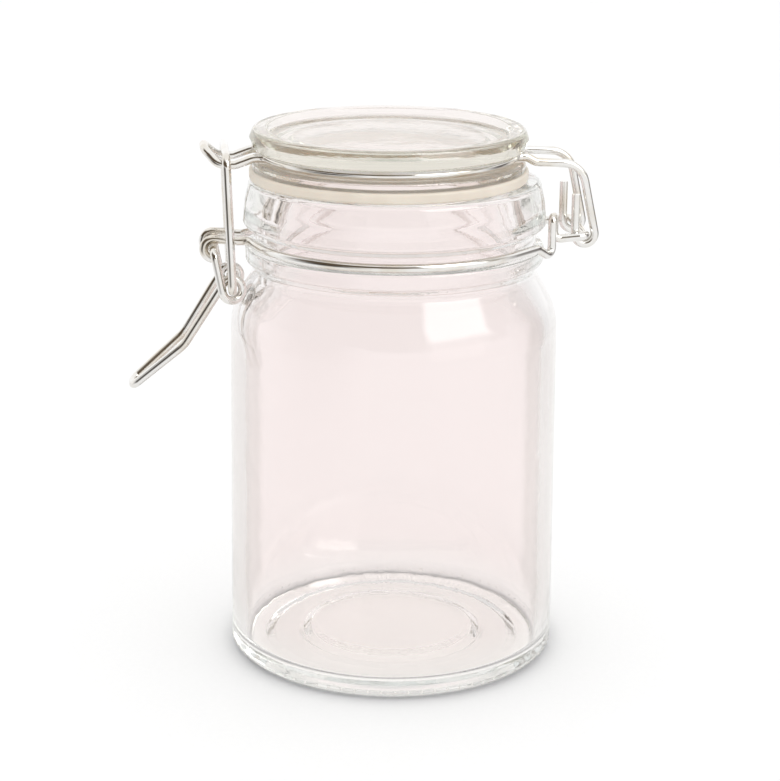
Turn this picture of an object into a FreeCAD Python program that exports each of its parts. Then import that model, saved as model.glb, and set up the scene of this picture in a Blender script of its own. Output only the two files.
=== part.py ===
import FreeCAD, Part
import math
import os
import re

import Sketcher

# Clip-top preserving jar, shut: a glass jar and a glass lid with a rubber gasket between them,
# held by a closure of bent wire. Millimetres. The jar stands on z = 0, centred on the Z axis,
# with the latch at -Y and the hinge at +Y. Every wire is the same left and right of x = 0.

V = FreeCAD.Vector
doc = FreeCAD.newDocument("ClipTopJar")

# ---------------------------------------------------------------- driving dimensions
SIZES = [
    # glass jar, upwards from the table and outwards from the neck
    ("jar_height", 103.9, "height of the glass rim"),
    ("neck_radius", 29.9, "outside radius of the neck"),
    ("shoulder_out", 5.0, "how far the body stands out beyond the neck"),
    ("base_flare", 0.7, "how far the foot stands out beyond the body"),
    ("lip_out", 2.4, "how far the lip stands out beyond the neck"),
    ("rim_out", 0.4, "how far the glass rim stands out beyond the neck"),
    ("neck_wall", 4.3, "thickness of the neck"),
    ("wall", 3.1, "thickness of the body wall"),
    ("rim_band", 10.3, "height of the band above the neck"),
    ("lip_rise", 1.4, "height of the swell under the lip"),
    ("neck_band", 8.9, "height of the neck"),
    ("shoulder_rise", 8.8, "height of the shoulder"),
    ("floor_z", 5.6, "height of the floor inside the jar"),
    ("foot_width", 8.4, "width of the ring that the jar stands on"),
    ("foot_step", 1.1, "height of the step inside the foot ring"),
    ("punt_width", 9.2, "distance from the foot ring to the push-up under the base"),
    ("punt_rise", 2.5, "height of the push-up under the base"),
    ("punt_edge", 1.5, "width of the slope round the push-up"),
    ("punt_round", 0.5, "rounding of the push-up's edges"),
    ("heel_round", 3.0, "rounding between foot and body"),
    ("floor_round", 6.0, "rounding between floor and wall inside"),
    ("shoulder_round", 14.0, "rounding at the foot of the shoulder"),
    ("neck_round", 3.0, "rounding between shoulder and neck"),
    ("rim_round", 1.3, "rounding of the glass rim"),
    ("lip_round", 0.7, "rounding of the lip"),
    # glass lid
    ("lid_offset", 1.3, "distance of the lid from the jar's axis, towards the latch"),
    ("lid_height", 8.4, "height of the lid above the gasket"),
    ("flange_in", 1.5, "how far the lid's flange stays inside the glass rim"),
    ("flange_height", 2.0, "height of the flange"),
    ("groove_fit", 0.3, "height of the lid's groove beyond the wire in it"),
    ("groove_depth", 3.2, "depth of that groove in the flange"),
    ("lid_over", 0.5, "how far the lid's rim stands out beyond the flange"),
    ("dish_edge", 3.5, "width of the rim round the shallow dish in the lid's top"),
    ("dish_depth", 1.3, "depth of that dish"),
    ("lid_web", 4.2, "thickness of the lid's middle"),
    ("plug_fit", 1.9, "clearance of the ring under the lid in the mouth"),
    ("plug_wall", 2.8, "thickness of that ring"),
    ("plug_depth", 4.7, "reach of that ring below the flange"),
    ("crown_round", 1.9, "rounding of the lid's upper edge"),
    ("edge_round", 0.7, "rounding of the lid's smaller edges"),
    # gasket
    ("gasket_height", 2.3, "thickness of the gasket"),
    ("gasket_over", 0.6, "how far the gasket stands out beyond the lid's flange"),
    ("gasket_gap", 0.15, "clearance between gasket and glass rim"),
    ("gasket_fit", 0.2, "clearance of the gasket round the lid's ring"),
    # wires
    ("wire_diameter", 1.8, "diameter of every wire"),
    ("wire_seat", 0.1, "clearance of a wire in its groove"),
    ("pin_gap", 0.3, "radial clearance of a wire that turns in a wire eye"),
    ("side_gap", 0.15, "clearance of wires that turn side by side"),
    ("neck_wire_drop", 2.0, "drop of the neck wire below the lip"),
    ("eye_half", 3.8, "half the distance between the two latch eyes"),
    ("handle_half", 6.1, "half the width of the lever's handle"),
    ("bend_half", 5.1, "half the width of the handle at its bend"),
    ("tip_half", 2.5, "half the width of the handle at its tip"),
    ("hook_half", 5.6, "half the width of the lid hook at its root"),
    ("hook_tip_half", 3.4, "half the width of the lid hook at its tip"),
    ("hinge_half", 7.2, "half the distance between the two hinge hooks"),
    # latch: each place from the one before it, outwards and upwards
    ("coil_lap", 3.2, "how far the lever's coils reach in over the shoulder"),
    ("pivot_out", 3.7, "lever pivot in front of the coils"),
    ("pivot_drop", 1.6, "drop of the lever pivot below the neck wire"),
    ("coil_drop", 2.7, "drop of the coils below the top of the shoulder"),
    ("bend_out", 10.3, "bend of the handle in front of the coils"),
    ("bend_drop", 12.4, "drop of the bend below the coils"),
    ("tip_out", 10.9, "tip of the handle in front of its bend"),
    ("tip_drop", 9.4, "drop of the tip below the bend"),
    ("bar_out", 1.0, "crossbar of the link in front of the coils"),
    ("hook_out", 4.3, "tip of the lid hook in front of the crossbar"),
    ("hook_rise", 3.0, "rise of the hook's tip above its saddle"),
    ("saddle_drop", 1.35, "drop of the hook's saddle below the lid wire"),
    # hinge
    ("hinge_out", 7.3, "hinge bar behind the lip"),
    ("hinge_rise", 1.2, "rise of the hinge bar above the neck wire"),
    ("leg_drop", 0.6, "drop of the hinge bar's legs at the neck"),
    ("loop_clear", 0.7, "clearance of the neck wire's upright loops outside the lip"),
    ("loop_rise", 5.6, "rise of those loops above the neck wire"),
    ("loop_drop", 2.8, "dip of the wire before it rises into them"),
    ("arm_drop", 1.1, "drop of the lid wire's arms below the ring round the lid"),
    ("elbow_in", 1.1, "elbow of the arm in front of the hinge bar"),
    ("elbow_drop", 0.5, "drop of the arm from the ring to its elbow"),
    ("stub_rise", 8.5, "rise of the lid wire's upright ends above the hinge bar"),
]

sheet = doc.addObject("Spreadsheet::Sheet", "Dims")
for row, (alias, value, note) in enumerate(SIZES, start=1):
    sheet.set(f"A{row}", note)
    sheet.set(f"B{row}", str(value))
    sheet.setAlias(f"B{row}", alias)
doc.recompute()


def value(expression):
    """The value of an expression written in the sheet's aliases."""
    return float(sheet.evalExpression(expression))


def bound(expression):
    """The same expression as an object outside the sheet states it."""
    return re.sub(r"([a-z_]{3,})", r"Dims.\1", expression)


# ---------------------------------------------------------------- sizes that follow from those
BODY_RADIUS = "(neck_radius + shoulder_out)"
BASE_RADIUS = f"({BODY_RADIUS} + base_flare)"
FOOT_RADIUS = f"({BASE_RADIUS} - foot_width)"
LIP_RADIUS = "(neck_radius + lip_out)"
RIM_RADIUS = "(neck_radius + rim_out)"
MOUTH_RADIUS = "(neck_radius - neck_wall)"
LIP_Z = "(jar_height - rim_band)"
SHOULDER_HIGH_Z = f"({LIP_Z} - neck_band)"
SHOULDER_LOW_Z = f"({SHOULDER_HIGH_Z} - shoulder_rise)"

FLANGE_RADIUS = f"({RIM_RADIUS} - flange_in)"
GROOVE_RADIUS = f"({FLANGE_RADIUS} - groove_depth)"
LID_RADIUS = f"({FLANGE_RADIUS} + lid_over)"
DISH_RADIUS = f"({LID_RADIUS} - dish_edge)"
PLUG_RADIUS = f"({MOUTH_RADIUS} - plug_fit)"
LID_Z = "(jar_height + gasket_gap + gasket_height)"
FLANGE_Z = f"({LID_Z} + flange_height)"
GROOVE_TOP_Z = f"({FLANGE_Z} + wire_diameter + groove_fit)"
LID_TOP_Z = f"({LID_Z} + lid_height)"

NECK_WIRE_Z = f"({LIP_Z} - neck_wire_drop)"
LID_WIRE_Z = f"({FLANGE_Z} / 2 + {GROOVE_TOP_Z} / 2)"
SADDLE_Z = f"({LID_WIRE_Z} - saddle_drop)"
COIL_OUT = f"({BODY_RADIUS} - coil_lap + wire_diameter * 1.5 + pin_gap)"
PIVOT_Z = f"({NECK_WIRE_Z} - pivot_drop)"
COIL_Z = f"({SHOULDER_HIGH_Z} - coil_drop)"
HINGE_Z = f"({NECK_WIRE_Z} + hinge_rise)"


# ---------------------------------------------------------------- turned pieces
def origin_plane(body, role):
    return next(f for f in body.Origin.OriginFeatures if f.Role == role)


def place_corner(sketch, index, kind, size, position):
    """Hold one coordinate of a corner on an axis, or at its distance from the sheet."""
    axis = -2 if kind == "DistanceX" else -1
    if abs(position) < 1e-9:
        sketch.addConstraint(Sketcher.Constraint("PointOnObject", index, 1, axis))
        return
    number = sketch.addConstraint(Sketcher.Constraint(kind, -1, 1, index, 1, position))
    sketch.setExpression(f"Constraints[{number}]", bound(size))


def turned_body(label, profile):
    """A body turned about Z from a closed profile of (radius, height) expressions."""
    body = doc.addObject("PartDesign::Body", label)
    sketch = body.newObject("Sketcher::SketchObject", f"{label}_profile")
    sketch.AttachmentSupport = [(origin_plane(body, "XZ_Plane"), "")]
    sketch.MapMode = "FlatFace"
    corners = [V(value(r), value(z), 0) for r, z in profile]
    count = len(corners)
    for i, corner in enumerate(corners):
        sketch.addGeometry(Part.LineSegment(corner, corners[(i + 1) % count]), False)
    for i in range(count):
        following = (i + 1) % count
        sketch.addConstraint(Sketcher.Constraint("Coincident", i, 2, following, 1))
    for i, (radius, height) in enumerate(profile):
        place_corner(sketch, i, "DistanceX", radius, corners[i].x)
        place_corner(sketch, i, "DistanceY", height, corners[i].y)
    turn = body.newObject("PartDesign::Revolution", f"{label}_turned")
    turn.Profile = sketch
    turn.ReferenceAxis = (sketch, ["V_Axis"])
    turn.Angle = 360
    doc.recompute()
    return body


def round_corners(body, name, radius, corners):
    """Round the circular edges that run through the given corners of the profile."""
    base = body.Tip
    wanted = [(value(r), value(z)) for r, z in corners]
    edges = []
    for number, edge in enumerate(base.Shape.Edges, start=1):
        if not isinstance(edge.Curve, Part.Circle):
            continue
        at = edge.Curve.Radius, edge.Curve.Center.z
        if any(math.dist(at, corner) < 0.01 for corner in wanted):
            edges.append(f"Edge{number}")
    fillet = body.newObject("PartDesign::Fillet", name)
    fillet.Base = (base, edges)
    fillet.setExpression("Radius", bound(radius))
    doc.recompute()
    if len(edges) < len(wanted):
        raise RuntimeError(f"{name}: {len(edges)} edges found for {len(wanted)} corners")


def make_jar():
    punt = (f"{FOOT_RADIUS} - punt_width", "punt_rise")
    punt_foot = (f"{FOOT_RADIUS} - punt_width + punt_edge", "foot_step")
    foot = (BASE_RADIUS, "0")
    shoulder = (BODY_RADIUS, SHOULDER_LOW_Z)
    neck = ("neck_radius", SHOULDER_HIGH_Z)
    lip = (LIP_RADIUS, f"{LIP_Z} + lip_rise")
    rim_out = (RIM_RADIUS, "jar_height")
    rim_in = (MOUTH_RADIUS, "jar_height")
    neck_in = (MOUTH_RADIUS, f"{SHOULDER_HIGH_Z} - wall / 2")
    shoulder_in = (f"{BODY_RADIUS} - wall", f"{SHOULDER_LOW_Z} - wall / 2")
    floor_edge = (f"{BASE_RADIUS} - wall", "floor_z")
    jar = turned_body(
        "jar",
        [
            ("0", "punt_rise"),
            punt,
            punt_foot,
            (f"{FOOT_RADIUS} - foot_step / 2", "foot_step"),
            (FOOT_RADIUS, "0"),
            foot,
            shoulder,
            neck,
            ("neck_radius", LIP_Z),
            lip,
            rim_out,
            rim_in,
            neck_in,
            shoulder_in,
            floor_edge,
            ("0", "floor_z"),
        ],
    )
    round_corners(jar, "jar_shoulder", "shoulder_round", [shoulder])
    round_corners(jar, "jar_shoulder_inside", "shoulder_round - wall", [shoulder_in])
    round_corners(jar, "jar_neck", "neck_round", [neck])
    round_corners(jar, "jar_neck_inside", "neck_round + wall", [neck_in])
    round_corners(jar, "jar_punt", "punt_round", [punt, punt_foot])
    round_corners(jar, "jar_heel", "heel_round", [foot])
    round_corners(jar, "jar_floor", "floor_round", [floor_edge])
    round_corners(jar, "jar_rim", "rim_round", [rim_out, rim_in])
    round_corners(jar, "jar_lip", "lip_round", [lip])
    return jar


def make_lid():
    crown = (f"{LID_RADIUS} - edge_round", LID_TOP_Z)
    dish = (DISH_RADIUS, LID_TOP_Z)
    girth = (LID_RADIUS, f"{LID_TOP_Z} - crown_round")
    brow = (f"{FLANGE_RADIUS} - edge_round / 2", GROOVE_TOP_Z)
    flange_top = (FLANGE_RADIUS, FLANGE_Z)
    plug_low = f"{LID_Z} - plug_depth"
    plug_out = (PLUG_RADIUS, plug_low)
    plug_in = (f"{PLUG_RADIUS} - plug_wall", plug_low)
    ceiling = f"{LID_TOP_Z} - dish_depth - lid_web"
    lid = turned_body(
        "lid",
        [
            ("0", f"{LID_TOP_Z} - dish_depth"),
            (f"{DISH_RADIUS} - dish_depth", f"{LID_TOP_Z} - dish_depth"),
            dish,
            crown,
            girth,
            brow,
            (GROOVE_RADIUS, GROOVE_TOP_Z),
            (GROOVE_RADIUS, FLANGE_Z),
            flange_top,
            (FLANGE_RADIUS, LID_Z),
            (PLUG_RADIUS, LID_Z),
            plug_out,
            plug_in,
            (f"{PLUG_RADIUS} - plug_wall - edge_round", ceiling),
            ("0", ceiling),
        ],
    )
    round_corners(lid, "lid_crown", "edge_round * 1.6", [crown])
    round_corners(lid, "lid_edges", "edge_round", [dish, brow, flange_top, plug_out, plug_in])
    lid.setExpression("Placement.Base.y", bound("-lid_offset"))
    return lid


def make_gasket():
    inner = f"{PLUG_RADIUS} + gasket_fit"
    outer = f"{FLANGE_RADIUS} + gasket_over"
    low = "jar_height + gasket_gap"
    gasket = turned_body("gasket", [(inner, low), (outer, low), (outer, LID_Z), (inner, LID_Z)])
    round_corners(gasket, "gasket_edge", "gasket_height / 4", [(outer, low), (outer, LID_Z)])
    gasket.setExpression("Placement.Base.y", bound("-lid_offset"))
    return gasket


# ---------------------------------------------------------------- paths of bent wire
WIRE = value("wire_diameter")
EYE_RADIUS = value("wire_diameter + pin_gap")
HAIRPIN_BEND = value("wire_diameter * 0.65")
TIGHT_BEND = value("wire_diameter * 0.8")
TIP_BEND = value("wire_diameter")
EASY_BEND = value("wire_diameter * 1.2")
HOOK_BEND = value("wire_diameter * 1.45")
CLAW_BEND = value("wire_diameter * 1.9")
SWEEPING_BEND = value("wire_diameter * 2.8")
GRIP_BEND = value("wire_diameter * 4")


def arc(start, middle, end):
    return Part.Arc(start, middle, end).toShape()


def line(start, end):
    return Part.LineSegment(start, end).toShape()


def bent_line(points, bends):
    """Edges through the points, with an arc of the given radius at each inner point."""
    edges = []
    here = points[0]
    for previous, corner, following, bend in zip(points, points[1:], points[2:], bends):
        back = (previous - corner).normalize()
        ahead = (following - corner).normalize()
        half = back.getAngle(ahead) / 2
        reach = bend / math.tan(half)
        middle = (back + ahead).normalize()
        centre = corner + middle * (bend / math.sin(half))
        first = corner + back * reach
        last = corner + ahead * reach
        edges += [line(here, first), arc(first, centre - middle * bend, last)]
        here = last
    edges.append(line(here, points[-1]))
    return edges


def on_circle(centre, radius, angle):
    """A point of a circle that stands in a plane across X, its angle measured from +Y."""
    turned = math.radians(angle)
    return centre + V(0, radius * math.cos(turned), radius * math.sin(turned))


def tangent_angle(point, centre, radius, side):
    """The angle at which a line from the point touches the circle, on one side or the other."""
    away = point - centre
    bearing = math.degrees(math.atan2(away.z, away.y))
    return bearing + side * math.degrees(math.acos(radius / math.hypot(away.y, away.z)))


def eye(centre, radius, start, end):
    """An arc of a wire eye from one angle to another."""
    angles = (start, (start + end) / 2, end)
    return arc(*(on_circle(centre, radius, angle) for angle in angles))


def turned_out(centre, radius, half, sign, bend):
    """How a ring round the glass turns out along Y at x = half, at the rear (+1) or front (-1).

    Returns a point on the ring, the middle of the bend and the point where the end runs straight.
    """
    pivot = centre + V(half + bend, sign * math.sqrt((radius + bend) ** 2 - (half + bend) ** 2), 0)
    on_ring = centre + (pivot - centre) * (radius / (radius + bend))
    straight = V(centre.x + half, pivot.y, centre.z)
    outward = ((on_ring + straight) * 0.5 - pivot).normalize()
    return on_ring, pivot + outward * bend, straight


def wire_piece(label, half_path):
    """A round wire swept along half a path and its mirror image about x = 0."""
    mirrored = [edge.mirror(V(0, 0, 0), V(1, 0, 0)) for edge in half_path]
    path = Part.Wire(Part.__sortEdges__(half_path + mirrored))
    spine = doc.addObject("Part::Feature", f"{label}_path")
    spine.Shape = path
    first = path.OrderedEdges[0]
    start = first.FirstParameter if first.Orientation == "Forward" else first.LastParameter
    section = doc.addObject("Part::Circle", f"{label}_section")
    section.setExpression("Radius", "Dims.wire_diameter / 2")
    section.Placement = FreeCAD.Placement(
        first.valueAt(start), FreeCAD.Rotation(V(0, 0, 1), first.tangentAt(start))
    )
    piece = doc.addObject("Part::Sweep", label)
    piece.Sections = [section]
    piece.Spine = (spine, [f"Edge{i}" for i in range(1, len(path.Edges) + 1)])
    piece.Solid = True
    piece.Frenet = False
    piece.Transition = "Transformed"
    return piece


# ---------------------------------------------------------------- wires
def make_neck_wire():
    """Ring round the neck with two eyes for the lever, two upright loops and the hinge bar."""
    centre = V(0, 0, value(NECK_WIRE_Z))
    radius = value("neck_radius + wire_seat + wire_diameter / 2")
    eye_half = value("eye_half")
    ring_front, bend_front, front = turned_out(centre, radius, eye_half, -1, EASY_BEND)

    pivot = V(eye_half, -value(f"{COIL_OUT} + pivot_out"), value(PIVOT_Z))
    kink = front + V(0, -WIRE / 2, 0)
    start = tangent_angle(kink, pivot, EYE_RADIUS, 1)
    first = on_circle(pivot, EYE_RADIUS, start)
    latch_end = bent_line([front, kink, first], [EASY_BEND])
    latch_end.append(eye(pivot, EYE_RADIUS, start, 290))

    loop_radius = value(f"{LIP_RADIUS} + loop_clear + wire_diameter / 2")
    leg_half = value("hinge_half + wire_diameter + side_gap")
    rise_half = leg_half + 2 * HAIRPIN_BEND + value("side_gap / 2")
    leg_z = value(f"{HINGE_Z} - leg_drop")
    leg = V(leg_half, math.sqrt(loop_radius**2 - leg_half**2), leg_z)
    rise = V(rise_half, math.sqrt(loop_radius**2 - rise_half**2), centre.z)
    away = math.sqrt(loop_radius**2 - radius**2)
    bearing = math.atan2(rise.x, rise.y) + math.atan2(away, radius)
    leaving = centre + V(radius * math.sin(bearing), radius * math.cos(bearing), 0)
    dip = rise + (leaving - rise) * (EASY_BEND * 2.5 / away)
    top_z = centre.z + value("loop_rise")
    hinge = V(leg_half, value(f"{LIP_RADIUS} + hinge_out"), value(HINGE_Z))
    hinge_end = bent_line(
        [
            leaving,
            dip,
            rise - V(0, 0, value("loop_drop")),
            V(rise.x, rise.y, top_z),
            V(leg.x, leg.y, top_z),
            leg,
            hinge,
            V(0, hinge.y, hinge.z),
        ],
        [EASY_BEND, TIGHT_BEND, HAIRPIN_BEND, HAIRPIN_BEND, TIGHT_BEND, TIGHT_BEND],
    )
    ring = [
        arc(front, bend_front, ring_front),
        arc(ring_front, centre + V(radius, 0, 0), leaving),
    ]
    return wire_piece("neck_wire", ring + latch_end + hinge_end)


def make_lid_wire():
    """Ring round the lid, a narrow hook in front and two arms that hook round the hinge bar."""
    centre = V(0, -value("lid_offset"), value(LID_WIRE_Z))
    radius = value(f"{GROOVE_RADIUS} + wire_seat + wire_diameter / 2")
    hook_half = value("hook_half")
    hinge_half = value("hinge_half")
    ring_front, bend_front, front = turned_out(centre, radius, hook_half, -1, EASY_BEND)
    ring_rear, bend_rear, rear = turned_out(centre, radius, hinge_half, 1, EASY_BEND)
    ring = [
        arc(front, bend_front, ring_front),
        arc(ring_front, centre + V(radius, 0, 0), ring_rear),
        arc(ring_rear, bend_rear, rear),
    ]

    saddle_z = value(SADDLE_Z)
    bar_y = -value(f"{COIL_OUT} + bar_out")
    tip = V(value("hook_tip_half"), bar_y - value("hook_out"), saddle_z + value("hook_rise"))
    hook = bent_line(
        [
            V(0, tip.y, tip.z),
            tip,
            V(hook_half, bar_y - WIRE * 0.8, saddle_z),
            V(hook_half, bar_y + WIRE * 1.1, saddle_z),
            front + V(0, -WIRE / 2, 0),
            front,
        ],
        [HOOK_BEND, CLAW_BEND, EASY_BEND, EASY_BEND],
    )

    hinge = V(hinge_half, value(f"{LIP_RADIUS} + hinge_out"), value(HINGE_Z))
    arm_z = centre.z - value("arm_drop")
    elbow = V(hinge_half, hinge.y - value("elbow_in"), arm_z - value("elbow_drop"))
    start = tangent_angle(elbow, hinge, EYE_RADIUS, -1)
    arm = bent_line(
        [
            rear,
            rear + V(0, WIRE * 0.5, 0),
            V(hinge_half, rear.y + WIRE * 1.6, arm_z),
            elbow,
            on_circle(hinge, EYE_RADIUS, start),
        ],
        [EASY_BEND, EASY_BEND, SWEEPING_BEND],
    )
    arm.append(eye(hinge, EYE_RADIUS, start, -180))
    foot = on_circle(hinge, EYE_RADIUS, -180)
    arm.append(line(foot, foot + V(0, 0, value("stub_rise"))))
    return wire_piece("lid_wire", ring + hook + arm)


LEG_HALF = value("handle_half + wire_diameter + side_gap")
LINK_HALF = LEG_HALF + value("wire_diameter + side_gap")


def coil(centre, start, end, far_half):
    """A turn of wire from one angle down to another that ends level at x = far_half.

    It starts as a flat arc. Its last half turn is a half circle that leans sideways, so both
    its ends point along the wire that they meet.
    """
    lean = end + 180
    middle = (start + lean) / 2
    here = on_circle(centre, EYE_RADIUS, lean)
    there = on_circle(V(far_half, centre.y, centre.z), EYE_RADIUS, end)
    heading = V(0, math.sin(math.radians(lean)), -math.cos(math.radians(lean)))
    lowest = (here + there) * 0.5 + heading * (here.distanceToPoint(there) / 2)
    flat = arc(on_circle(centre, EYE_RADIUS, start), on_circle(centre, EYE_RADIUS, middle), here)
    return [flat, arc(here, lowest, there)], there


def make_lever():
    """Handle, a coil on each side that carries the link, and two ends that turn in the eyes."""
    ring = V(value("handle_half"), -value(COIL_OUT), value(COIL_Z))
    pivot = V(LEG_HALF, ring.y - value("pivot_out"), value(PIVOT_Z))
    bend = V(value("bend_half"), ring.y - value("bend_out"), ring.z - value("bend_drop"))
    tip = V(value("tip_half"), bend.y - value("tip_out"), bend.z - value("tip_drop"))
    start = tangent_angle(bend, ring, EYE_RADIUS, -1)
    end = tangent_angle(pivot, ring, EYE_RADIUS, 1)
    turn, leg_foot = coil(ring, start + 360, end - 360, LEG_HALF)
    on_ring = on_circle(ring, EYE_RADIUS, start)
    handle = bent_line([V(0, tip.y, tip.z), tip, bend, on_ring], [TIP_BEND, GRIP_BEND])
    pin_end = V(value("eye_half - wire_diameter"), pivot.y, pivot.z)
    leg = bent_line([leg_foot, pivot, pin_end], [TIGHT_BEND])
    return wire_piece("lever", handle + turn + leg)


def make_link():
    """Loop from the lever's coils up over the lid hook."""
    ring = V(LINK_HALF, -value(COIL_OUT), value(COIL_Z))
    bar_z = value(f"{SADDLE_Z} + wire_diameter + pin_gap")
    bar = V(LINK_HALF, ring.y - value("bar_out"), bar_z)
    pin_end = V(value("handle_half - wire_diameter / 2 - pin_gap"), ring.y, ring.z)
    half = bent_line([V(0, bar.y, bar.z), bar, ring, pin_end], [EASY_BEND, TIGHT_BEND])
    return wire_piece("link", half)


# ---------------------------------------------------------------- build, check, write
pieces = [
    make_jar(),
    make_lid(),
    make_gasket(),
    make_neck_wire(),
    make_lid_wire(),
    make_lever(),
    make_link(),
]
doc.recompute()

for item in doc.Objects:
    if {"Invalid", "Error"} & set(item.State):
        raise RuntimeError(f"{item.Label} did not build: {item.State}")

os.makedirs("parts", exist_ok=True)
for piece in pieces:
    shape = piece.Shape
    if shape.isNull() or not shape.isValid() or len(shape.Solids) != 1:
        raise RuntimeError(f"{piece.Label} is not one valid solid")
    shape.exportStep(f"parts/{piece.Label}.step")
    box = shape.BoundBox
    print(f"{piece.Label}: {shape.Volume:.0f} mm3, z {box.ZMin:.2f} to {box.ZMax:.2f}")
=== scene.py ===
import math

import bmesh
import bpy
from mathutils import Matrix, Vector


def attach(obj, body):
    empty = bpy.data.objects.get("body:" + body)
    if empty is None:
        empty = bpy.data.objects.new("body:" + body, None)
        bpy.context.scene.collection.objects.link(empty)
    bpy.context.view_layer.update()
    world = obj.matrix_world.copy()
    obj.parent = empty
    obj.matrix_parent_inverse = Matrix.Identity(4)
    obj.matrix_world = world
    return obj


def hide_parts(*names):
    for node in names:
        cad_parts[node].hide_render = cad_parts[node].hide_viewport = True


# Looks of the clip-top jar: pressed clear glass, a pale rubber gasket and bright zinc-plated
# wire, on a white floor in soft studio light. Metres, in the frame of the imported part.
#
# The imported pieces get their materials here. The jar alone is shown by a smooth turned piece of
# this script, with the thinner floor and the small bead of the real glass, and with a row of
# dots round its heel.

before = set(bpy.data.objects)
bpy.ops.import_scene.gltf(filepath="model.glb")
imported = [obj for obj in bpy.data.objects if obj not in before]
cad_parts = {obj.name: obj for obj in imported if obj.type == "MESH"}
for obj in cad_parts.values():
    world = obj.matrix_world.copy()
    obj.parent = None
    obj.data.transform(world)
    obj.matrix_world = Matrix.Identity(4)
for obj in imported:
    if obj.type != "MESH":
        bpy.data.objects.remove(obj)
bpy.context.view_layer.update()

MM = 0.001
WHITE = (1.0, 1.0, 1.0)


# ---------------------------------------------------------------- helpers
class Nodes:
    """A material or world tree with short calls for adding nodes and joining them."""

    def __init__(self, tree):
        self.tree = tree
        tree.nodes.clear()

    def add(self, kind, inputs=None, **settings):
        node = self.tree.nodes.new(kind)
        for name, setting in settings.items():
            setattr(node, name, setting)
        for name, given in (inputs or {}).items():
            self.put(node.inputs[name], given)
        return node

    def put(self, socket, given):
        """Link a socket to another, or set its value. A colour is given as three numbers."""
        if isinstance(given, bpy.types.NodeSocket):
            self.tree.links.new(given, socket)
        elif socket.type == "RGBA":
            socket.default_value = (*given, 1.0)
        else:
            socket.default_value = given

    def math(self, operation, a, b=0.0):
        node = self.add("ShaderNodeMath", operation=operation)
        self.put(node.inputs[0], a)
        self.put(node.inputs[1], b)
        return node.outputs[0]

    def times(self, a, b):
        return self.math("MULTIPLY", a, b)

    def noise(self, vector, scale, detail=2.0, roughness=0.5):
        inputs = {"Vector": vector, "Scale": scale, "Detail": detail, "Roughness": roughness}
        return self.add("ShaderNodeTexNoise", inputs).outputs["Fac"]

    def ramp(self, value, low, high, to_low=0.0, to_high=1.0):
        """A smooth step: to_low where the value is up to low, to_high from high on."""
        inputs = {
            "Value": value,
            "From Min": low,
            "From Max": high,
            "To Min": to_low,
            "To Max": to_high,
        }
        node = self.add("ShaderNodeMapRange", inputs, interpolation_type="SMOOTHSTEP")
        return node.outputs["Result"]

    def blend(self, factor, a, b):
        node = self.add("ShaderNodeMix", data_type="RGBA")
        self.put(node.inputs["Factor"], factor)
        self.put(node.inputs["A"], a)
        self.put(node.inputs["B"], b)
        return node.outputs["Result"]

    def bump(self, height, strength, distance):
        inputs = {"Height": height, "Strength": strength, "Distance": distance}
        return self.add("ShaderNodeBump", inputs).outputs["Normal"]

    def object_space(self, stretch=(1.0, 1.0, 1.0)):
        coordinates = self.add("ShaderNodeTexCoord").outputs["Object"]
        return self.add("ShaderNodeMapping", {"Vector": coordinates, "Scale": stretch}).outputs[0]

    def axes(self, vector):
        return self.add("ShaderNodeSeparateXYZ", {"Vector": vector}).outputs

    def off_axis(self):
        """Distance from the jar's axis, and height above the floor."""
        x, y, z = self.axes(self.object_space())
        return self.math("SQRT", self.math("ADD", self.times(x, x), self.times(y, y))), z

    def surface(self, shader):
        """Finish the tree with this shader, and give the output node."""
        kind = "World" if shader.type == "BACKGROUND" else "Material"
        out = self.add(f"ShaderNodeOutput{kind}")
        self.put(out.inputs["Surface"], shader.outputs[0])
        return out


def material(name):
    made = bpy.data.materials.new(name)
    made.use_nodes = True
    return made, Nodes(made.node_tree)


def placed(name, data):
    """An object that shows this mesh, light or camera in the scene."""
    item = bpy.data.objects.new(name, data)
    bpy.context.scene.collection.objects.link(item)
    return item


# ---------------------------------------------------------------- materials
GLASS_INDEX = 1.52
GLASS_ROUGHNESS = 0.03
# Painted shade: the glass is tinted darker where its surface turns away from the ray, with a
# second edge colour above the neck heights.
TURNED_AWAY = (0.52, 0.64)
NECK_HEIGHTS = (68 * MM, 80 * MM)
# Painted light: below these heights the glass takes a lighter, near-clear tint that brightens the
# base and drops the painted edge shade there.
FOOT_HEIGHTS = (3 * MM, 14 * MM)
FOOT_PAINTED_LIGHT = (0.985, 0.97, 0.96)

# What the glass lets through from a lamp: nearly all when met square, little at its edges, and
# least at the heel, whose thick glass throws the light aside.
LAMP_EDGE = (0.55, 1.0)
LAMP_SQUARE = (0.995, 0.99, 0.985)
LAMP_GRAZING = (0.3, 0.3, 0.3)
LAMP_HEEL = (0.28, 0.28, 0.29)
HEEL_RADII = (31 * MM, 34.5 * MM)
HEEL_HEIGHTS = (0.6 * MM, 3.4 * MM)

# A ray that has met this many surfaces is trapped in the glass and would come out black.
TRAPPED_AFTER = 12.0


def glass_tint_with_painted_shading(nodes, tint, edge_shade, neck_edge_shade):
    """Tint of the surface, darkened by painted shade where it turns away from the ray (the first
    edge colour on the body, the second on the neck and the lid), and lightened by painted light
    on the foot.
    """
    place = nodes.object_space()
    facing = nodes.add("ShaderNodeLayerWeight", {"Blend": 0.5}).outputs["Facing"]
    height = nodes.axes(place)["Z"]
    square = nodes.blend(nodes.noise(place, 70.0, 2.0, 0.4), tint, [1.01 * c for c in tint])
    aside = nodes.blend(nodes.ramp(height, *NECK_HEIGHTS), edge_shade, neck_edge_shade)
    tint_with_edge_shade = nodes.blend(nodes.ramp(facing, *TURNED_AWAY), square, aside)
    # painted light: the foot is lighter
    return nodes.blend(nodes.ramp(height, *FOOT_HEIGHTS, 1.0, 0.0), tint_with_edge_shade, FOOT_PAINTED_LIGHT)


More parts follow.
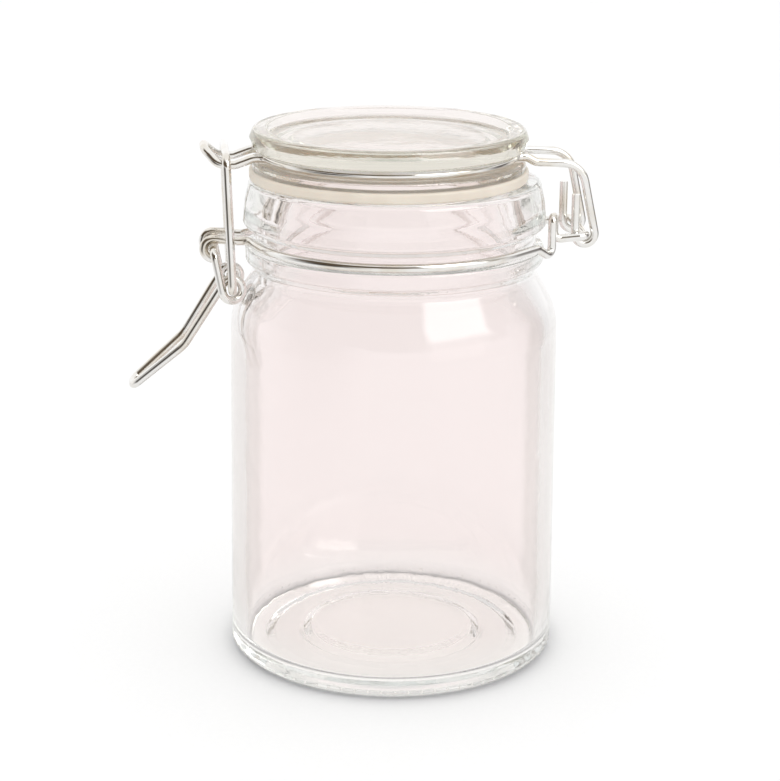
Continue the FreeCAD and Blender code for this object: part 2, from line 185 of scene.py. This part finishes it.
def lamp_light(nodes):
    """Clear stand-in for the glass, for the light of lamps and for trapped rays."""
    facing = nodes.add("ShaderNodeLayerWeight", {"Blend": 0.5}).outputs["Facing"]
    radius, height = nodes.off_axis()
    heel = nodes.times(
        nodes.ramp(radius, *HEEL_RADII), nodes.ramp(height, *HEEL_HEIGHTS, 1.0, 0.0)
    )
    passed = nodes.blend(nodes.ramp(facing, *LAMP_EDGE), LAMP_SQUARE, LAMP_GRAZING)
    passed = nodes.blend(heel, passed, LAMP_HEEL)
    return nodes.add("ShaderNodeBsdfTransparent", {"Color": passed})


def clear_glass(name, tint, edge_shade, neck_edge_shade, deep, density):
    """Pressed glass: a little wavy, faintly tinted through its thickness, and lit through."""
    made, nodes = material(name)
    place = nodes.object_space()
    waves = nodes.noise(place, 70.0, 2.0, 0.4)
    orange_peel = nodes.noise(place, 420.0, 3.0, 0.5)
    height = nodes.math("ADD", waves, nodes.times(orange_peel, 0.12))
    haze = nodes.noise(nodes.object_space((1.0, 1.0, 0.5)), 160.0, 4.0, 0.6)
    glass = nodes.add(
        "ShaderNodeBsdfPrincipled",
        {
            # base colour: tint with painted edge shade, and painted light on the foot
            "Base Color": glass_tint_with_painted_shading(nodes, tint, edge_shade, neck_edge_shade),
            "Roughness": nodes.ramp(haze, 0.45, 0.8, 0.0, GLASS_ROUGHNESS),
            "Normal": nodes.bump(height, 0.25, 0.4 * MM),
            "Transmission Weight": 1.0,
            "IOR": GLASS_INDEX,
        },
    )
    path = nodes.add("ShaderNodeLightPath").outputs
    lamp = nodes.math("MAXIMUM", path["Is Shadow Ray"], path["Is Diffuse Ray"])
    trapped = nodes.math("GREATER_THAN", path["Ray Depth"], TRAPPED_AFTER)
    through = lamp_light(nodes)
    mixed = nodes.add(
        "ShaderNodeMixShader",
        {0: nodes.math("MAXIMUM", lamp, trapped), 1: glass.outputs[0], 2: through.outputs[0]},
    )
    absorb = nodes.add("ShaderNodeVolumeAbsorption", {"Color": deep, "Density": density})
    nodes.put(nodes.surface(mixed).inputs["Volume"], absorb.outputs[0])
    return made


def gasket_rubber():
    """Milky rubber with a fine matt grain and slightly darker, greasier patches."""
    made, nodes = material("gasket_rubber")
    place = nodes.object_space()
    cloud = nodes.noise(place, 90.0, 3.0)
    grain = nodes.noise(place, 2500.0)
    rubber = nodes.add(
        "ShaderNodeBsdfPrincipled",
        {
            "Base Color": nodes.blend(
                nodes.ramp(cloud, 0.35, 0.7), (0.70, 0.63, 0.54), (0.77, 0.71, 0.62)
            ),
            "Roughness": nodes.ramp(cloud, 0.3, 0.7, 0.42, 0.6),
            "Normal": nodes.bump(grain, 0.2, 0.05 * MM),
            "IOR": 1.45,
            "Subsurface Weight": 0.3,
            "Subsurface Radius": (1.2 * MM, 0.9 * MM, 0.7 * MM),
            "Subsurface Scale": 1.0,
        },
    )
    nodes.surface(rubber)
    return made


def bright_wire():
    """Zinc-plated wire: bright, with faint drawing marks and a duller, yellower bloom."""
    made, nodes = material("bright_wire")
    place = nodes.object_space()
    bloom = nodes.noise(place, 120.0, 3.0)
    marks = nodes.noise(place, 3200.0)
    wire = nodes.add(
        "ShaderNodeBsdfPrincipled",
        {
            "Base Color": nodes.blend(
                nodes.ramp(bloom, 0.4, 0.75), (0.80, 0.79, 0.77), (0.70, 0.65, 0.57)
            ),
            "Roughness": nodes.ramp(bloom, 0.35, 0.75, 0.10, 0.20),
            "Normal": nodes.bump(marks, 0.12, 0.02 * MM),
            "Metallic": 1.0,
        },
    )
    nodes.surface(wire)
    return made


# The edge colours of the glass are painted shade where its surface turns away from the ray.
LID_EDGE_SHADE = (0.845, 0.805, 0.775)
jar_glass = clear_glass(
    "jar_glass",
    tint=(0.954, 0.903, 0.896),
    edge_shade=(0.68, 0.645, 0.62),
    neck_edge_shade=(0.90, 0.905, 0.90),
    deep=(0.84, 0.86, 0.84),
    density=12.0,
)
lid_glass = clear_glass(
    "lid_glass",
    tint=(0.950, 0.900, 0.885),
    edge_shade=LID_EDGE_SHADE,
    neck_edge_shade=LID_EDGE_SHADE,
    deep=(0.80, 0.81, 0.72),
    density=18.0,
)
wire_metal = bright_wire()
MATERIALS = {
    "jar": jar_glass,
    "lid": lid_glass,
    "gasket": gasket_rubber(),
    "neck_wire": wire_metal,
    "lid_wire": wire_metal,
    "lever": wire_metal,
    "link": wire_metal,
}
for node_name, look in MATERIALS.items():
    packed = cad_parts[node_name].data
    packed.materials.clear()
    packed.materials.append(look)


# ---------------------------------------------------------------- glass of the jar
def rounded(corners, steps=10):
    """An outline through (radius, height, rounding) corners, each rounded by that much."""
    points = []
    for before, (radius, height, rounding), after in zip(
        [corners[0], *corners], corners, [*corners[1:], corners[-1]]
    ):
        corner = Vector((radius, height))
        if not rounding:
            points.append(corner)
            continue
        back = (Vector(before[:2]) - corner).normalized()
        ahead = (Vector(after[:2]) - corner).normalized()
        half = back.angle(ahead) / 2
        centre = corner + (back + ahead).normalized() * (rounding / math.sin(half))
        reach = rounding / math.tan(half)
        first = (corner + back * reach - centre).normalized()
        last = (corner + ahead * reach - centre).normalized()
        for step in range(steps + 1):
            part = step / steps
            points.append(centre + first.lerp(last, part).normalized() * rounding)
    return points


def turned(name, outline, around=180):
    """A closed mesh turned about Z from an outline that starts and ends on the axis."""
    rings, vertices, faces = [], [], []
    for point in outline:
        if point.x < 1e-6:
            rings.append([len(vertices)] * around)
            vertices.append((0.0, 0.0, point.y * MM))
            continue
        rings.append(range(len(vertices), len(vertices) + around))
        for k in range(around):
            angle = 2 * math.pi * k / around
            x, y = point.x * math.cos(angle), point.x * math.sin(angle)
            vertices.append((x * MM, y * MM, point.y * MM))
    for low, high in zip(rings, rings[1:]):
        for k in range(around):
            following = (k + 1) % around
            loop = [low[k], low[following], high[following], high[k]]
            faces.append(list(dict.fromkeys(loop)))
    mesh = bpy.data.meshes.new(name)
    mesh.from_pydata(vertices, [], faces)
    mesh.shade_smooth()
    return placed(name, mesh)


def heel_dots(count=78, radius=35.2, height=1.75, size=0.32):
    """The row of small bumps that the mould leaves round the heel."""
    work = bmesh.new()
    for k in range(count):
        angle = 2 * math.pi * k / count
        place = Vector((radius * math.cos(angle), radius * math.sin(angle), height)) * MM
        spot = Matrix.Translation(place)
        bmesh.ops.create_icosphere(work, subdivisions=2, radius=size * MM, matrix=spot)
    mesh = bpy.data.meshes.new("heel_dots")
    work.to_mesh(mesh)
    work.free()
    mesh.shade_smooth()
    return placed("heel_dots", mesh)


JAR_OUTLINE = [
    # under the base, from the push-up to the foot
    (0.0, 2.3, 0.0),
    (17.6, 2.0, 0.6),
    (19.2, 0.7, 0.6),
    (26.0, 0.7, 1.0),
    (28.0, 0.0, 1.0),
    (35.6, 0.0, 3.0),
    # up the outside: body, shoulder, bead, groove of the wire, rim
    (34.9, 75.9, 14.0),
    (30.0, 84.7, 1.6),
    (30.4, 85.9, 0.8),
    (31.75, 87.2, 1.2),
    (31.75, 90.2, 0.6),
    (29.9, 90.5, 0.3),
    (29.9, 93.6, 0.4),
    (32.2, 94.9, 0.9),
    (31.7, 99.8, 9.0),
    (30.7, 103.9, 1.3),
    # down the inside: mouth, shoulder, body, floor
    (25.6, 103.9, 1.3),
    (25.6, 83.15, 6.1),
    (31.8, 74.35, 10.9),
    (32.5, 3.0, 2.4),
    (21.0, 3.0, 2.0),
    (16.8, 4.0, 2.0),
    (0.0, 4.4, 0.0),
]

shown_dots = heel_dots()
shown_dots.data.materials.append(jar_glass)
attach(shown_dots, "jar_body")
shown_jar = turned("jar_glass", rounded(JAR_OUTLINE))
shown_jar.data.materials.append(jar_glass)
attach(shown_jar, "jar_body")
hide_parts("jar")


# ---------------------------------------------------------------- floor
FLOOR_HALF = 4.0


def floor_paper():
    """White paper with a hardly visible grain, and a painted pool of light: the paper glows in a
    ring under the jar's heel, for the light that the jar gathers under it.
    """
    made, nodes = material("floor_paper")
    grain = nodes.noise(nodes.object_space(), 900.0)
    radius, _ = nodes.off_axis()
    # Painted pool of light: emission in a ring under the jar's heel, fading in from 26 mm and cut
    # off at 34 mm.
    painted_glow = nodes.times(
        nodes.ramp(radius, 26 * MM, 32 * MM, 0.04, 0.26),
        nodes.ramp(radius, 32.5 * MM, 34 * MM, 1.0, 0.0),
    )
    paper = nodes.add(
        "ShaderNodeBsdfPrincipled",
        {
            "Base Color": nodes.blend(grain, (0.90, 0.90, 0.90), (0.93, 0.93, 0.93)),
            "Roughness": 0.9,
            "Emission Color": (1.0, 0.985, 0.97),
            "Emission Strength": painted_glow,
        },
    )
    nodes.surface(paper)
    return made


def flat_board(name, corners, look):
    mesh = bpy.data.meshes.new(name)
    mesh.from_pydata(corners, [], [(0, 1, 2, 3)])
    mesh.materials.append(look)
    return placed(name, mesh)


def sweep_floor(half):
    """A wide white floor."""
    corners = [(-half, -half, 0), (half, -half, 0), (half, half, 0), (-half, half, 0)]
    floor = flat_board("floor", corners, floor_paper())


sweep_floor(FLOOR_HALF)


# ---------------------------------------------------------------- light
ROOM = (1.11, 1.11, 1.11)
MIRRORED_ROOM = (1.15, 1.15, 1.15)
MIRRORED_DARK = (0.12, 0.09, 0.06)
MIRRORED_DIM = (0.45, 0.42, 0.37)
ROOM_ABOVE = (0.80, 0.84, 0.84)


def studio_world():
    """A white room. Seen through the glass it is greyer above; mirrored, its front is brown.

    A ray that has passed through glass counts as glossy too, so its colour is put in last.
    """
    world = bpy.data.worlds.new("studio")
    bpy.context.scene.world = world
    world.use_nodes = True
    world.cycles.sampling_method = "NONE"
    nodes = Nodes(world.node_tree)
    direction = nodes.add("ShaderNodeTexCoord").outputs["Generated"]
    front, side, height = nodes.axes(direction)
    band = nodes.math("SUBTRACT", nodes.ramp(height, 0.10, 0.24), nodes.ramp(height, 0.70, 0.90))
    dim = nodes.times(band, nodes.ramp(front, -0.35, 0.15))
    brown = nodes.blend(nodes.ramp(side, -0.3, 0.7), MIRRORED_DARK, MIRRORED_DIM)
    mirrored = nodes.blend(dim, MIRRORED_ROOM, brown)
    seen = nodes.blend(nodes.ramp(height, 0.30, 0.50), WHITE, ROOM_ABOVE)
    path = nodes.add("ShaderNodeLightPath").outputs
    colour = nodes.blend(path["Is Glossy Ray"], ROOM, mirrored)
    colour = nodes.blend(path["Is Transmission Ray"], colour, seen)
    nodes.surface(nodes.add("ShaderNodeBackground", {"Color": colour, "Strength": 1.0}))


def card(name, low, high, edge, middle, fade, rise, fall=0.0):
    """An upright card beside the set, shown only by reflections, from low to high corner.

    It goes from the edge's colour to the middle's over these shares of its width and height.
    """
    (x0, y0, z0), (x1, y1, z1) = low, high
    look, nodes = material(f"{name}_card")
    across, _, up = nodes.axes(nodes.add("ShaderNodeTexCoord").outputs["Generated"])
    strength = nodes.times(
        nodes.ramp(nodes.math("PINGPONG", across, 0.5), 0.0, fade), nodes.ramp(up, 0.0, rise)
    )
    if fall:
        strength = nodes.times(strength, nodes.ramp(up, 1.0 - fall, 1.0, 1.0, 0.0))
    colour = nodes.blend(strength, edge, middle)
    nodes.surface(nodes.add("ShaderNodeEmission", {"Color": colour}))
    corners = [(x0, y0, z0), (x1, y1, z0), (x1, y1, z1), (x0, y0, z1)]
    board = flat_board(name, corners, look)
    board.visible_camera = False
    board.visible_diffuse = False
    board.visible_transmission = False
    board.visible_shadow = False


def soft_box(name, position, aim, width, height, strength):
    light = bpy.data.lights.new(name, "AREA")
    light.shape = "RECTANGLE"
    light.size = width
    light.size_y = height
    light.energy = strength
    box = placed(name, light)
    box.location = position
    box.rotation_euler = (Vector(aim) - Vector(position)).to_track_quat("-Z", "Y").to_euler()


studio_world()
soft_box(
    "window",
    position=(0.75, 0.70, 0.50),
    aim=(0.0, 0.0, 0.07),
    width=0.9,
    height=0.6,
    strength=1.0,
)
card(
    "window_panes",
    low=(0.72, 0.22, 0.30),
    high=(0.26, 0.78, 1.44),
    edge=WHITE,
    middle=(4.5, 4.5, 4.4),
    fade=0.12,
    rise=0.14,
    fall=0.14,
)
# two dark flags, which draw the dark lines along the wires
card(
    "flag_left",
    low=(0.20, -0.08, 0.0),
    high=(-0.01, -0.17, 0.12),
    edge=WHITE,
    middle=(0.06, 0.05, 0.04),
    fade=0.45,
    rise=0.6,
)
card(
    "flag_right",
    low=(0.05, 0.18, 0.0),
    high=(-0.12, 0.15, 0.14),
    edge=WHITE,
    middle=(0.15, 0.13, 0.12),
    fade=0.45,
    rise=0.6,
)


# ---------------------------------------------------------------- camera
def photo_camera():
    """The viewpoint: a little above the jar, with the latch on the left."""
    azimuth, fall, roll = math.radians(84.0), math.radians(16.73), math.radians(0.473)
    distance, aside, aim_height = 467.2 * MM, -0.66 * MM, 57.05 * MM
    ahead = Vector(
        (
            -math.sin(azimuth) * math.cos(fall),
            math.cos(azimuth) * math.cos(fall),
            -math.sin(fall),
        )
    )
    right = ahead.cross(Vector((0, 0, 1))).normalized()
    up = right.cross(ahead)
    aim = Vector((0, 0, aim_height)) + right * aside
    turned_right = right * math.cos(roll) + up * math.sin(roll)
    turned_up = up * math.cos(roll) - right * math.sin(roll)
    basis = Matrix((turned_right, turned_up, -ahead)).transposed()
    camera = bpy.data.cameras.new("camera")
    camera.lens = 99.22
    camera.sensor_width = 36.0
    holder = placed("camera", camera)
    holder.matrix_world = Matrix.Translation(aim - ahead * distance) @ basis.to_4x4()
    bpy.context.scene.camera = holder


photo_camera()
bpy.context.scene.view_settings.view_transform = "Standard"
bpy.context.scene.cycles.max_bounces = 32
bpy.context.scene.cycles.transmission_bounces = 32
bpy.context.scene.cycles.glossy_bounces = 16
bpy.context.scene.cycles.transparent_max_bounces = 24
